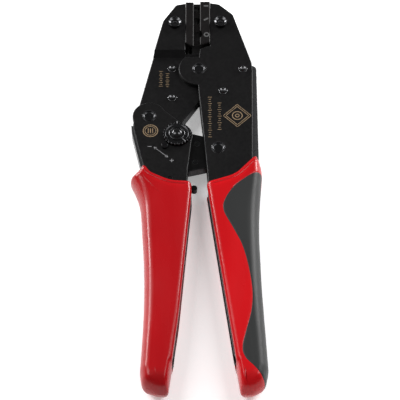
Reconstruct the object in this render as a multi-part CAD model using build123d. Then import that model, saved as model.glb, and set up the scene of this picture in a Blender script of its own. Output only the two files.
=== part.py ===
from build123d import *
import math
import os

# Ratchet crimping tool for insulated terminals, lying flat. Millimetres.
# X runs across the tool, Y from the grip ends to the jaw tips, Z through its thickness.
# It is drawn about the main pivot, at mid thickness, and moved to its own frame on writing.

# Overall size
tip_y = 48.2
heel_y = -201.8
left_x = -36.9
right_x = 34.9
grip_half = 10.0
grip_bevel = 2.0
panel_skin = 1.6

# Side plates: an outer level for the frame and the handle, an inner one for the moving parts
plate_thickness = 2.8
outer_low = 3.1
outer_high = outer_low + plate_thickness
inner_low = 0.05
inner_high = inner_low + plate_thickness
edge_break = 0.3

# Pivots of the toggle
main_pivot = (0.0, 0.0)
handle_pivot = (-27.1, -32.8)
eccentric_pivot = (-11.9, -45.8)
link_pivot = (10.4, -54.0)
pivot_radius = 3.8
pivot_clearance = 0.05
fixed_clearance = 0.02

# Bosses round the pivots
hub_radius = 11.2
hub_top = 8.1
handle_boss = 9.1
tail_boss = 8.0
wheel_boss = 8.4

# Joggle of the jaw plates, from the inner to the outer level
joggle_start = 9.7
joggle_end = 13.4

# Nose of the jaw's inner level, which closes the gap below the dies
nose_y = 12.6

# Dies: cheeks over the plate edges, a tang between the plates, a tongue with three nests
die_half = 6.4
tang_half = 3.05
tongue_half = 4.2
groove_half = 4.6
moving_die_back = -7.65
moving_die_face = -3.0
groove_floor = -5.4
fixed_die_back = 6.2
fixed_die_face = 0.6
tongue_face = -4.2
nest_centres = (44.3, 35.2, 24.4)
nest_heights = (3.8, 5.0, 6.2)
nest_floors = (0.5, 0.7, 1.9)
punch_gap = 0.35
punch_face = -3.4
die_screw_left = (-13.6, 32.2)
die_screw_right = (12.1, 32.6)
screw_head_radius = 3.75
screw_head_height = 2.1
screw_shank_radius = 2.0
socket_across = 2.5
socket_depth = 1.3

# Domed rivets
jaw_rivets = ((-15.0, 2.4), (-14.8, -17.9))
frame_rivets = ((24.4, -0.2), (13.2, -15.4))
rivet_radius = 2.4
rivet_dome = 1.1
sleeve_radius = 3.6
tang_rivets_right = ((15.5, -104.0), (22.5, -165.0))
tang_rivets_left = ((-16.0, -98.0), (-19.5, -165.0))

# Channel of the frame and spine of the handle, between the side plates
channel_wall = 1.6
channel_half = 3.05

# Adjusting eccentric and its star wheel
star_radius = 7.7
star_notch_radius = 0.45
star_notches = 24
star_thickness = 1.7
eccentric_radius = 4.1
eccentric_throw = 0.6
eccentric_shank = 3.6
bolt_head_radius = 4.7
bolt_head_height = 1.7
lock_screw = (-18.5, -53.2)
lock_screw_radius = 1.85

# Toggle link with its ratchet teeth
link_bore = 5.9
link_eye = 8.2
link_boss = 7.4
link_half = 2.85
link_layer = 1.8
link_middle = link_half - link_layer
link_rivets = ((-1.0, -49.5), (-2.0, -61.5))
link_rivet_radius = 1.25
tooth_radius = 18.0
tooth_depth = 0.9
tooth_count = 13
tooth_start = -106.0
tooth_pitch = 4.3

# Pawl and release lever
pawl_pivot = (-15.5, -74.2)
pawl_pin_radius = 1.5
pawl_half = 1.6
lever_tip = (-2.6, -77.6)
lever_tip_radius = 1.7

# Springs: the opening spring from the frame to the link, the pawl spring to its post
opening_spring_low = (17.6, -49.2)
opening_coil_radius = 2.1
opening_wire = 0.42
opening_turns = 16
pawl_spring_post = (-24.0, -81.4)
pawl_spring_end = (-14.6, -78.8)
pawl_coil_radius = 1.35
pawl_wire = 0.3
pawl_turns = 5
post_radius = 1.5
spring_hole = 1.1


def outline(*corners):
    """Closed face through the corners, each (x, y) or (x, y, rounding radius)."""
    points = [corner[:2] for corner in corners]
    radii = [corner[2] if len(corner) > 2 else 0 for corner in corners]
    return make_face(FilletPolyline(*points, radius=radii, close=True))


def boss(centre, radius):
    """Disc face round a pivot."""
    return Pos(centre[0], centre[1]) * Circle(radius)


def slab(face, low, high):
    """Flat plate of the given outline between two heights."""
    return Pos(0, 0, low) * extrude(face, amount=high - low)


def rod(centre, radius, low, high):
    """Round bar across the tool between two heights."""
    middle = (low + high) / 2
    return Pos(centre[0], centre[1], middle) * Cylinder(radius, high - low)


def polar(centre, radius, degrees):
    """Point at a distance and a direction from a centre."""
    angle = math.radians(degrees)
    return (centre[0] + radius * math.cos(angle), centre[1] + radius * math.sin(angle))


def mirrored(shape):
    """Copy of a front piece on the rear of the tool."""
    return mirror(shape, about=Plane.XY)


def broken_edges(shape, height):
    """Small bevel along the rim of the face at one height."""
    rim = shape.faces().filter_by(Plane.XY).filter_by(lambda f: abs(f.center().Z - height) < 0.01)
    return chamfer(rim.edges(), edge_break)


def washer(centre, outer, inner, low, high):
    """Flat ring."""
    return rod(centre, outer, low, high) - rod(centre, inner, low - 1, high + 1)


def round_end(centre, radius, height, dome):
    """Domed head standing on a height, rising by dome at its middle."""
    sphere_radius = (radius**2 + dome**2) / (2 * dome)
    ball = Pos(centre[0], centre[1], height + dome - sphere_radius) * Sphere(sphere_radius)
    return ball & rod(centre, radius, height, height + dome + 0.5)


# Fixed frame

def frame_outline():
    """Body plate from the right jaw to the end of its tang, with the hub cut straight on top."""
    body = outline(
        (6.25, 47.5), (11.4, 46.5, 3), (19.2, 38.9, 2), (29.2, 4.5, 2), (29.7, -1.0, 2),
        (28.8, -62.0, 4), (25.0, -85.0, 30), (29.6, -183.0, 4), (17.9, -182.0, 2),
        (4.75, -84.0, 4), (5.1, -76.0, 4), (2.7, -46.0, 30), (0.1, -18.4, 3), (-0.6, -9.0),
        (-0.2, 5.0), (0.6, 14.0, 0.8), (4.6, 16.0, 1.0), (6.25, 16.2),
    )
    below_top = Pos(0, hub_top - 20) * Rectangle(40, 40)
    return body + (boss(main_pivot, hub_radius) & below_top)


def frame_plate():
    """Pressed plate at the outer level, bored for the pivots, the rivets and the die screw."""
    plate = broken_edges(slab(frame_outline(), outer_low, outer_high), outer_high)
    for centre in (main_pivot, link_pivot):
        plate -= rod(centre, pivot_radius + fixed_clearance, outer_low - 1, outer_high + 1)
    for centre in frame_rivets + tang_rivets_right:
        plate -= rod(centre, rivet_radius - 0.6 + fixed_clearance, outer_low - 1, outer_high + 1)
    plate -= rod(die_screw_right, screw_shank_radius + fixed_clearance, outer_low - 1, outer_high + 1)
    return plate


def frame_channel():
    """U channel between the frame plates: its rounded web stands out past their edge."""
    outer = outline(
        (31.9, 4.2, 3), (32.2, -60.0, 6), (27.6, -84.0, 30), (30.8, -181.0, 1), (24.0, -181.0, 1),
        (19.0, -84.0, 30), (22.8, -62.0, 6), (22.4, 4.2, 0),
    )
    hollow = outline(
        (30.3, 5.0, 0), (30.6, -60.4, 5), (26.0, -84.2, 29), (29.2, -182.0, 0), (15.0, -182.0, 0),
        (15.0, 5.0, 0),
    )
    web_edges = slab(outer, -channel_half, channel_half)
    inner_half = channel_half - channel_wall
    channel = web_edges - slab(hollow, -inner_half, inner_half)
    for centre in (frame_rivets[0],) + tang_rivets_right[1:]:
        channel -= rod(centre, rivet_radius - 0.6 + fixed_clearance, -channel_half - 1, channel_half + 1)
    return channel


def rivet(centre, head_low):
    """Rivet right through a stack, with a domed head on both faces."""
    head = round_end(centre, rivet_radius, head_low, rivet_dome)
    return rod(centre, rivet_radius - 0.6, -head_low, head_low) + head + mirrored(head)


def flush_pin(centre):
    """Pivot pin riveted flush, with a bevelled rim at both ends."""
    pin = rod(centre, pivot_radius, -outer_high - 0.15, outer_high + 0.15)
    return chamfer(pin.edges().filter_by(GeomType.CIRCLE), edge_break)


def cap_screw(centre):
    """Button head socket screw through both plates and the die between them."""
    head = rod(centre, screw_head_radius, outer_high, outer_high + screw_head_height)
    head = fillet(head.edges().group_by(Axis.Z)[-1], screw_head_height * 0.75)
    top = outer_high + screw_head_height
    socket = RegularPolygon(socket_across / math.sqrt(3), 6)
    head -= Pos(centre[0], centre[1], top - socket_depth) * extrude(socket, amount=socket_depth + 1)
    return head + rod(centre, screw_shank_radius, -outer_high - 0.4, outer_high)


# Dies

def nest_cut(index, face, floor):
    """Round-ended recess reaching from a face to its floor."""
    height = nest_heights[index]
    rounding = min(height / 2.2, abs(floor - face) * 0.7)
    middle = nest_centres[index]
    sign = 1 if floor > face else -1
    mouth = face - sign * 3
    return outline(
        (mouth, middle - height / 2), (floor, middle - height / 2, rounding),
        (floor, middle + height / 2, rounding), (mouth, middle + height / 2),
    )


def fixed_die():
    """Die block of the frame: cheeks, a tongue with the three nests, and the screwed tang."""
    block = outline(
        (fixed_die_face, 17.0), (2.4, 16.9), (fixed_die_back, 18.4),
        (fixed_die_back, tip_y), (fixed_die_face, tip_y),
    )
    die = chamfer(slab(block, -die_half, die_half).edges().filter_by(Axis.Z, reverse=True), 0.4)
    tongue = outline(
        (tongue_face, 17.0, 0.6), (fixed_die_face + 1, 17.0), (fixed_die_face + 1, tip_y - 0.4),
        (tongue_face, tip_y - 0.4, 0.4),
    )
    die += slab(tongue, -tongue_half, tongue_half)
    tang = outline((5.0, 19.0), (17.5, 19.0, 2), (17.5, 40.5, 4), (12.5, 45.0, 3), (5.0, 46.4))
    die += slab(tang, -tang_half, tang_half)
    for index, floor in enumerate(nest_floors):
        die -= slab(nest_cut(index, tongue_face, floor), -die_half - 1, die_half + 1)
    return die - rod(die_screw_right, screw_shank_radius + fixed_clearance, -tang_half - 1, tang_half + 1)


def moving_die():
    """Die block of the jaw: a groove between its cheeks, and one punch for each nest."""
    block = outline(
        (moving_die_face, 16.0), (moving_die_face, tip_y - 0.5), (moving_die_back, tip_y - 0.5),
        (moving_die_back, 18.2), (-4.6, 16.2),
    )
    die = chamfer(slab(block, -die_half, die_half).edges().filter_by(Axis.Z, reverse=True), 0.4)
    groove = Rectangle(abs(groove_floor), 80, align=(Align.MIN, Align.CENTER))
    die -= Pos(groove_floor, 30, -groove_half) * extrude(groove, amount=2 * groove_half)
    tang = outline((-6.5, 19.0), (-6.5, 46.0), (-13.6, 44.4, 3), (-18.5, 38.5, 3), (-18.5, 19.0, 2))
    die += slab(tang, -tang_half, tang_half)
    for index, middle in enumerate(nest_centres):
        height = nest_heights[index] - 4 * punch_gap
        bar = Box(punch_face - groove_floor + 1, height, 2 * (tongue_half - 0.6))
        die += Pos((punch_face + groove_floor - 1) / 2, middle, 0) * bar
    return die - rod(die_screw_left, screw_shank_radius + fixed_clearance, -tang_half - 1, tang_half + 1)


# Moving jaw

def jaw_outline():
    """Moving jaw from its tip to the tail that carries the handle pivot."""
    body = outline(
        (-7.7, 47.0), (-13.0, 46.0, 3), (-20.3, 34.2, 4), (-34.4, -31.0), (-26.5, -40.2),
        (-22.0, -38.2), (-15.0, -35.6, 4), (-9.0, -34.6, 1.0), (9.0, -6.6), (6.0, 0.0), (-2.0, 5.0), (-7.7, 9.0),
    )
    tail = boss(handle_pivot, tail_boss)
    below_top = Pos(0, hub_top - 20.2) * Rectangle(40, 40)
    hub = boss(main_pivot, hub_radius) & below_top
    return body + tail + hub


def jaw_plate():
    """Plate bent by its own thickness between the tail and the jaw."""
    face = jaw_outline()
    tail = broken_edges(slab(face, inner_low, inner_high), inner_high)
    jaw = broken_edges(slab(face, outer_low, outer_high), outer_high)
    fold = Polyline(
        (joggle_start, inner_low), (joggle_end, outer_low), (joggle_end, outer_high),
        (joggle_start, inner_high), close=True,
    )
    ramp = extrude(Plane.YZ * make_face(fold), amount=60, both=True)
    plate = tail & Pos(0, joggle_start - 50, 0) * Box(100, 100, 20)
    plate += ramp & slab(face, -1, outer_high + 1)
    plate += jaw & Pos(0, joggle_end + 50, 0) * Box(100, 100, 20)
    nose = outline((-8.5, 4.0), (2.0, 4.0), (1.2, nose_y, 1.5), (-8.5, nose_y))
    plate += slab(nose, inner_low, inner_high)
    bores = (
        (main_pivot, pivot_radius + pivot_clearance),
        (handle_pivot, pivot_radius + pivot_clearance),
        (die_screw_left, screw_shank_radius + fixed_clearance),
    )
    for centre, radius in bores:
        plate -= rod(centre, radius, -1, outer_high + 1)
    for centre in jaw_rivets:
        plate -= rod(centre, rivet_radius - 0.6 + fixed_clearance, -1, outer_high + 1)
    return plate


# Moving handle

def handle_outline():
    """Handle plate from its boss round the tail pivot to the end of its tang."""
    body = outline(
        (-21.7, -26.3), (-6.9, -39.9), (-4.0, -46.0), (-4.3, -51.0), (-6.2, -69.0, 20),
        (-6.2, -77.0, 4), (-3.85, -86.0, 4), (-12.9, -184.0, 2), (-23.8, -184.0, 4),
        (-25.0, -100.0, 30), (-29.4, -68.0, 12), (-35.6, -41.0, 8), (-35.6, -33.0),
    )
    return body + boss(handle_pivot, handle_boss) + boss(eccentric_pivot, wheel_boss)


def handle_plate():
    """Pressed plate at the outer level, bored for the pins and the eccentric."""
    plate = broken_edges(slab(handle_outline(), outer_low, outer_high), outer_high)
    bores = (
        (handle_pivot, pivot_radius + fixed_clearance),
        (eccentric_pivot, eccentric_shank + pivot_clearance),
        (pawl_pivot, pawl_pin_radius + fixed_clearance),
        (pawl_spring_post, post_radius + fixed_clearance),
        (lock_screw, 1.2 + fixed_clearance),
    )
    for centre, radius in bores:
        plate -= rod(centre, radius, outer_low - 1, outer_high + 1)
    for centre in tang_rivets_left:
        plate -= rod(centre, rivet_radius - 0.6 + fixed_clearance, outer_low - 1, outer_high + 1)
    return plate


def handle_spine():
    """Bent strip that closes the outer side of the handle between its plates."""
    return slab(
        outline(
            (left_x, -37.4), (-36.3, -43.0, 20), (-30.4, -69.0, 12), (-26.3, -100.0, 30),
            (-25.0, -183.0, 0.6), (-22.9, -183.0, 0.6), (-24.0, -100.0, 32), (-28.3, -68.6, 14),
            (-34.2, -42.6, 18), (-34.9, -38.0, 0.6),
        ),
        -channel_half, channel_half,
    )


# Toggle link and ratchet

def link_outline():
    """Link plate: an eye round the eccentric and a boss round its pin."""
    body = outline(
        (-9.0, -41.2), (2.7, -44.3), (10.4, -47.2), (12.0, -60.6), (3.8, -65.2, 6),
        (-5.9, -67.6, 1.2), (-9.8, -62.4, 1.2), (-15.0, -52.0),
    )
    return body + boss(eccentric_pivot, link_eye) + boss(link_pivot, link_boss)


def sector_outline():
    """Toothed part of the middle layer, with saw teeth on an arc round the eccentric."""
    root = tooth_radius - tooth_depth
    points = [polar(eccentric_pivot, 7.0, tooth_start + 14)]
    for index in range(tooth_count):
        start = tooth_start - index * tooth_pitch
        points.append(polar(eccentric_pivot, root, start))
        points.append(polar(eccentric_pivot, tooth_radius, start - 0.25 * tooth_pitch))
    points.append(polar(eccentric_pivot, root, tooth_start - tooth_count * tooth_pitch))
    points.append(polar(eccentric_pivot, 7.0, tooth_start - tooth_count * tooth_pitch - 6))
    return make_face(Polyline(*points, close=True))


def link_bores(layer):
    """Cuts the wide eye, the pin bore and the two rivet holes."""
    layer -= rod(eccentric_pivot, link_bore, -4, 4)
    layer -= rod(link_pivot, pivot_radius + pivot_clearance, -4, 4)
    for centre in link_rivets:
        layer -= rod(centre, link_rivet_radius + fixed_clearance, -4, 4)
    return layer


def link_plate():
    """Outer layer of the link."""
    plate = link_bores(slab(link_outline(), link_middle + 0.02, link_half))
    return broken_edges(plate, link_half)


def ratchet_sector():
    """Middle layer of the link, which carries the ratchet teeth."""
    arm = outline((9.0, -47.6), (19.4, -46.6, 2), (20.2, -51.4, 2), (12.0, -58.0))
    sector = slab(link_outline() + sector_outline() + arm, -link_middle, link_middle)
    return link_bores(sector) - rod(opening_spring_low, spring_hole, -4, 4)


def release_lever():
    """Pawl and thumb tab in one piece, turning on its own pin in the handle."""
    x, y = pawl_pivot
    thumb_x, thumb_y = lever_tip
    body = outline(
        (x - 3.2, y - 2.2, 2), (x - 3.2, y + 7.0, 1), (x - 2.6, y + 9.4, 0.3), (x - 0.2, y + 6.0, 1),
        (x + 3.0, y + 1.6, 1.5), (thumb_x - 1.0, thumb_y + 1.4, 0.6), (thumb_x - 1.0, thumb_y - 1.4, 0.6),
        (x + 4.0, y - 5.8, 1.5), (x + 1.0, y - 5.4, 2),
    )
    lever = slab(body, -pawl_half, pawl_half)
    lever += rod(lever_tip, lever_tip_radius, -pawl_half, pawl_half)
    lever -= rod(pawl_pivot, pawl_pin_radius + pivot_clearance, -pawl_half - 1, pawl_half + 1)
    return lever - rod(pawl_spring_end, spring_hole, -pawl_half - 1, pawl_half + 1)


def plain_pin(centre, radius, half):
    """Straight pin with broken edges."""
    return chamfer(rod(centre, radius, -half, half).edges().filter_by(GeomType.CIRCLE), edge_break)


def tension_spring(hook, post, post_size, coil_radius, wire, turns):
    """Close coil between a hook through a hole and a ring round a post."""
    run = Vector(post[0] - hook[0], post[1] - hook[1], 0)
    along = run.normalized()
    start = Vector(*hook) + along * (2 * coil_radius)
    ring_radius = post_size + wire + fixed_clearance
    height = run.length - 2 * coil_radius - ring_radius
    path = Helix(pitch=height / turns, height=height, radius=coil_radius)
    winding = sweep(Plane(origin=path @ 0, z_dir=path % 0) * Circle(wire), path=path)
    spring = Plane(origin=start, x_dir=(0, 0, 1), z_dir=along) * winding
    hook_middle = Vector(*hook) + along * coil_radius
    hook_plane = Plane(origin=hook_middle, x_dir=along, z_dir=along.cross(Vector(0, 0, 1)))
    spring += hook_plane * Torus(coil_radius, wire)
    return spring + Pos(post[0], post[1], 0) * Torus(ring_radius, wire)


# Adjusting eccentric

def star_wheel():
    """Notched wheel that turns the eccentric and is locked by the small screw."""
    low = outer_high + 0.05
    wheel = rod(eccentric_pivot, star_radius, low, low + star_thickness)
    wheel = chamfer(wheel.edges().group_by(Axis.Z)[-1], 0.35)
    for index in range(star_notches):
        centre = polar(eccentric_pivot, star_radius, index * 360 / star_notches)
        wheel -= rod(centre, star_notch_radius, low - 1, low + star_thickness + 1)
    return wheel - rod(eccentric_pivot, eccentric_shank + fixed_clearance, low - 1, low + 3)


def eccentric_bolt():
    """Bolt with a domed head, turning in the handle plates, and an eccentric middle."""
    low = outer_high + 0.05 + star_thickness
    head = round_end(eccentric_pivot, bolt_head_radius, low + 0.5, bolt_head_height - 0.5)
    head += rod(eccentric_pivot, bolt_head_radius, low, low + 0.5)
    shank = rod(eccentric_pivot, eccentric_shank, -outer_high - 1.2, low)
    x, y = eccentric_pivot
    offset = (x + eccentric_throw, y)
    return head + shank + rod(offset, eccentric_radius, -outer_low + 0.05, outer_low - 0.05)


def lock_screw_piece():
    """Small cheese-head screw beside the star wheel."""
    head = rod(lock_screw, lock_screw_radius, outer_high, outer_high + 1.4)
    head = chamfer(head.edges().group_by(Axis.Z)[-1], 0.3)
    slot = Box(5, 0.5, 0.7)
    head -= Pos(lock_screw[0], lock_screw[1], outer_high + 1.4) * Rot(0, 0, 35) * slot
    return head + rod(lock_screw, 1.2, outer_low, outer_high)


# Grips

def left_grip_outline():
    """Moulded grip of the moving handle, flared at its guard."""
    return outline(
        (-29.4, -65.6, 2.6), (-36.9, -73.4, 2.6), (-31.2, -86.0, 50), (-28.2, -131.0, 500),
        (-28.2, -160.0, 400), (-29.6, -190.0, 12), (-28.4, -198.0, 6), (-20.6, heel_y, 10),
        (-15.2, heel_y + 0.1, 2.6),
        (-10.0, -160.0, 300), (-3.5, -84.0, 8), (-3.8, -77.2, 2.6), (-15.4, -76.4, 20),
        (-26.0, -71.0, 8),
    )


def right_grip_outline():
    """Moulded grip of the fixed handle."""
    return outline(
        (31.6, -58.4, 2.6), (34.0, -68.6, 20), (31.4, -100.0, 300), (32.4, -140.0, 600),
        (right_x + 0.05, -189.0, 12), (33.4, -197.0, 7), (27.0, heel_y, 9), (20.8, heel_y + 0.1, 3),
        (17.6, -182.0, 6),
        (4.2, -84.0, 8), (3.2, -77.8, 3.2), (19.2, -72.4, 16),
    )


def moulding(face, slot):
    """Grip body with rounded long edges, open at the top and on its inner side for the steel."""
    body = slab(face, -grip_half, grip_half)
    ends = body.faces().filter_by(Plane.XY)
    body = chamfer(ends.edges(), grip_bevel)
    return body - slab(slot, -outer_high - 0.02, outer_high + 0.02)


def left_grip():
    """Hard red grip of the moving handle."""
    slot = outline(
        (-33.0, -60.0), (-31.0, -68.0, 10), (-26.9, -100.0, 30), (-25.5, -184.4), (-2.0, -184.4),
        (-2.0, -60.0),
    )
    return moulding(left_grip_outline(), slot)


def right_grip_body():
    """Whole moulding of the fixed handle, before its soft panel is let in."""
    slot = outline(
        (32.4, -55.0), (32.4, -60.0, 6), (27.9, -84.0, 30), (31.2, -183.4), (2.0, -183.4),
        (2.0, -55.0),
    )
    return moulding(right_grip_outline(), slot)


def panel_outline():
    """Edge of the soft panel on the outer side of the grip."""
    return outline(
        (40.0, -69.5), (31.0, -72.2, 8), (19.5, -80.5, 16), (11.6, -93.5, 9), (20.8, -113.0, 20),
        (27.9, -146.0, 30), (25.4, -166.0, 30), (20.9, -181.0, 7), (26.8, -188.6, 8),
        (34.0, -198.5, 3), (40.0, -202.0),
    )


def soft_zone():
    """Space of the soft panel: the skin of the moulding inside its edge line."""
    core = outline(
        (36.0, -60.0), (29.9, -72.0, 6), (29.6, -100.0, 40), (30.8, -140.0, 60), (32.4, -196.0, 3),
        (10.0, -200.0), (6.0, -80.0),
    )
    zone = slab(panel_outline(), -grip_half - 1, grip_half + 1)
    return zone - slab(core, -grip_half + panel_skin, grip_half - panel_skin)


body_of_right_grip = right_grip_body()
zone_of_panel = soft_zone()

pieces = {
    "frame_plate_front": frame_plate(),
    "frame_plate_rear": mirrored(frame_plate()),
    "frame_channel": frame_channel(),
    "main_pivot_pin": flush_pin(main_pivot),
    "link_pin": flush_pin(link_pivot),
    "frame_rivet_upper": rivet(frame_rivets[0], outer_high),
    "frame_rivet_lower": rivet(frame_rivets[1], outer_high),
    "spring_sleeve": washer(
        frame_rivets[1], sleeve_radius, rivet_radius - 0.6 + fixed_clearance,
        -outer_low + 0.05, outer_low - 0.05,
    ),
    "frame_tang_rivets": Compound([plain_pin(c, rivet_radius - 0.6, outer_high) for c in tang_rivets_right]),
    "fixed_die": fixed_die(),
    "fixed_die_screw": cap_screw(die_screw_right),
    "right_grip": body_of_right_grip - zone_of_panel,
    "soft_grip_panel": body_of_right_grip & zone_of_panel,
    "jaw_plate_front": jaw_plate(),
    "jaw_plate_rear": mirrored(jaw_plate()),
    "jaw_rivets": Compound([rivet(centre, inner_high) for centre in jaw_rivets]),
    "moving_die": moving_die(),
    "moving_die_screw": cap_screw(die_screw_left),
    "handle_plate_front": handle_plate(),
    "handle_plate_rear": mirrored(handle_plate()),
    "handle_spine": handle_spine(),
    "handle_pin": flush_pin(handle_pivot),
    "handle_tang_rivets": Compound([plain_pin(c, rivet_radius - 0.6, outer_high) for c in tang_rivets_left]),
    "left_grip": left_grip(),
    "link_plate_front": link_plate(),
    "link_plate_rear": mirrored(link_plate()),
    "ratchet_sector": ratchet_sector(),
    "link_rivets": Compound([plain_pin(c, link_rivet_radius, link_half) for c in link_rivets]),
    "release_lever": release_lever(),
    "pawl_pin": plain_pin(pawl_pivot, pawl_pin_radius, outer_high),
    "pawl_spring_post": plain_pin(pawl_spring_post, post_radius, outer_high),
    "pawl_spring": tension_spring(
        pawl_spring_end, pawl_spring_post, post_radius, pawl_coil_radius, pawl_wire, pawl_turns
    ),
    "opening_spring": tension_spring(
        opening_spring_low, frame_rivets[1], sleeve_radius, opening_coil_radius, opening_wire,
        opening_turns,
    ),
    "eccentric_bolt": eccentric_bolt(),
    "star_wheel": star_wheel(),
    "eccentric_retainer": washer(
        eccentric_pivot, 5.4, eccentric_shank + fixed_clearance, -outer_high - 1.0, -outer_high - 0.05,
    ),
    "lock_screw": lock_screw_piece(),
}

# The tool's own frame: middle of its footprint, on the face it lies on
to_frame = Pos(-(left_x + right_x) / 2, -(tip_y + heel_y) / 2, grip_half)

os.makedirs("parts", exist_ok=True)
for name, shape in pieces.items():
    export_step(to_frame * shape, f"parts/{name}.step")
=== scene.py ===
import math

import bmesh
import bpy
import numpy as np
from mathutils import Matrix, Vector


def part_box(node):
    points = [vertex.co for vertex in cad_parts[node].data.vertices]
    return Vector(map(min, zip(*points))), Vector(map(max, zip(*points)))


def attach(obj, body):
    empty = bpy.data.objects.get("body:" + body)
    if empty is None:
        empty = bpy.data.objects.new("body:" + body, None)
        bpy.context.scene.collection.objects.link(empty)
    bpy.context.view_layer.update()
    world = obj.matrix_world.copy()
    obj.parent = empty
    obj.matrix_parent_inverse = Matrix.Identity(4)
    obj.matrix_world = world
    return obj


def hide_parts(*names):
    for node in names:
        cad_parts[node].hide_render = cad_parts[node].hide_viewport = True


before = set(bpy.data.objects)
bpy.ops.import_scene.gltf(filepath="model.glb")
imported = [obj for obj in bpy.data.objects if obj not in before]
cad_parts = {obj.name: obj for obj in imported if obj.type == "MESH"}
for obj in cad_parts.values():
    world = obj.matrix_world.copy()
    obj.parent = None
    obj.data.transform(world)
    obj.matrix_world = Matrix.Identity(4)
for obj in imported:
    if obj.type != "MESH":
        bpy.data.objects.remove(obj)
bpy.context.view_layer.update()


# ---------------------------------------------------------------------------
# Side plates
# The fixed plates and the handle plates are carbon steel, blanked and pressed flat. They are
# blackened in a hot salt bath and oiled. Their sharp edges are painted a paler grey, partly
# wear and partly a painted edge highlight, and their sheared sides carry a painted reflection.

def finish_tree(name, **plain):
    """Empty node material: returns it, a function that adds a node, and a function that links
    an output to the shader. plain holds the values that are the same all over the surface."""
    material = bpy.data.materials.new(name)
    material.use_nodes = True
    tree = material.node_tree
    shader = tree.nodes["Principled BSDF"]
    for key, value in plain.items():
        shader.inputs[key.replace("_", " ").title().replace("Ior", "IOR")].default_value = value

    def add(kind, output, settings=None, **inputs):
        node = tree.nodes.new("ShaderNode" + kind)
        for key, value in (settings or {}).items():
            setattr(node, key, value)
        for key, value in inputs.items():
            socket = node.inputs[int(key[1:])] if key[1:].isdigit() else node.inputs[key]
            if isinstance(value, bpy.types.NodeSocket):
                tree.links.new(value, socket)
            else:
                socket.default_value = value
        return node.outputs[output]

    def link(source, target):
        tree.links.new(source, shader.inputs[target])

    return material, add, link


def place_on_piece(add, scale):
    """Object coordinates stretched by a scale for each axis."""
    spot = add("TexCoord", "Object")
    return add("Mapping", 0, Vector=spot, Scale=scale)


def worn_and_highlit_edges(add, radius):
    """0 on flat faces and 1 on corners: how far the rounded normal turns from the face's own."""
    still_flat = 0.995
    full_corner = 0.86
    rounded = add("Bevel", 0, {"samples": 6}, Radius=radius)
    flat = add("NewGeometry", "Normal")
    match = add("VectorMath", "Value", {"operation": "DOT_PRODUCT"}, i0=rounded, i1=flat)
    return add("MapRange", 0, Value=match, i1=still_flat, i2=full_corner, i3=0.0, i4=1.0)


def mixed_colour(add, factor, first, second):
    """Colour that goes from the first to the second with the factor."""
    return add("Mix", 2, {"data_type": "RGBA"}, i0=factor, i6=first, i7=second)


def black_oxide(name, deep, pale, edge, rough, side=(0.02, 0.02, 0.02, 1)):
    """Mottled oxide: two noise sizes vary colour and roughness. Sheared sides get a paler colour,
    a painted reflection of the floor, streaked through the thickness like shear marks, and the
    corners are painted paler, partly rubbed wear and partly a painted edge highlight."""
    material, add, link = finish_tree(name, metallic=0.5, specular_ior_level=0.25)
    broad = add("TexNoise", 0, Vector=place_on_piece(add, (60, 60, 60)), Scale=1.0, Detail=4.0)
    fine = add("TexNoise", 0, Vector=place_on_piece(add, (900, 900, 900)), Scale=1.0, Detail=3.0)
    sheared = add("TexNoise", 0, Vector=place_on_piece(add, (1500, 1500, 120)), Scale=1.0, Detail=2.0)
    face = mixed_colour(add, broad, deep, pale)
    upright = add("SeparateXYZ", 2, Vector=add("NewGeometry", "Normal"))
    flatness = add("Math", 0, {"operation": "ABSOLUTE"}, i0=upright)
    # Sheared sides, found by their level normals, get the side colour: a painted reflection of the floor,
    # streaked like shear marks.
    painted_side_reflection = add("MapRange", 0, Value=flatness, i1=0.75, i2=0.4, i3=0.0, i4=1.0)
    streaks = add("MapRange", 0, Value=sheared, i1=0.3, i2=0.7, i3=0.35, i4=1.0)
    side_reflection_share = add("Math", 0, {"operation": "MULTIPLY"}, i0=painted_side_reflection, i1=streaks)
    base = mixed_colour(add, side_reflection_share, face, side)
    # Corners painted paler by the edge mask: partly rubbed wear, partly a painted edge highlight.
    rubbed_and_highlit = add("Math", 0, {"operation": "MULTIPLY"}, i0=worn_and_highlit_edges(add, 0.00025), i1=broad)
    link(mixed_colour(add, rubbed_and_highlit, base, edge), "Base Color")
    link(add("MapRange", 0, Value=fine, i1=0.3, i2=0.7, i3=rough - 0.06, i4=rough + 0.08), "Roughness")
    link(add("Bump", 0, Strength=0.06, Distance=0.00005, Height=fine), "Normal")
    return material


def give(material, slot_nodes):
    """Puts one finish on every material slot of each named node."""
    for node in slot_nodes:
        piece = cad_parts[node]
        for place in piece.material_slots:
            place.material = material
        if not piece.material_slots:
            piece.data.materials.append(material)


bare_steel_and_edge_highlight = (0.10, 0.10, 0.105, 1)
plate_deep = (0.0035, 0.0035, 0.004, 1)
plate_pale = (0.009, 0.0085, 0.0085, 1)
plate_finish = black_oxide("plate_black", plate_deep, plate_pale, bare_steel_and_edge_highlight, rough=0.40)
give(plate_finish, ("frame_plate_front", "frame_plate_rear", "handle_plate_front", "handle_plate_rear"))


# ---------------------------------------------------------------------------
# Jaw plates
# Two stepped steel plates between the fixed plates, pressed and blackened like them. They turn
# on the main pivot and carry the moving die. Their sheared sides are painted paler, a painted
# reflection of the floor, streaked like shear marks.

jaw_finish = black_oxide("jaw_black", plate_deep, plate_pale, bare_steel_and_edge_highlight, rough=0.40,
                         side=(0.07, 0.07, 0.072, 1))
give(jaw_finish, ("jaw_plate_front", "jaw_plate_rear"))


# ---------------------------------------------------------------------------
# Channel and spine
# Folded steel that ties each pair of plates together and runs down into its grip, held by tang
# rivets. Its colour and its edges are painted paler and greyer than the plates', standing in
# for the light that its rounded bends catch.

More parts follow.
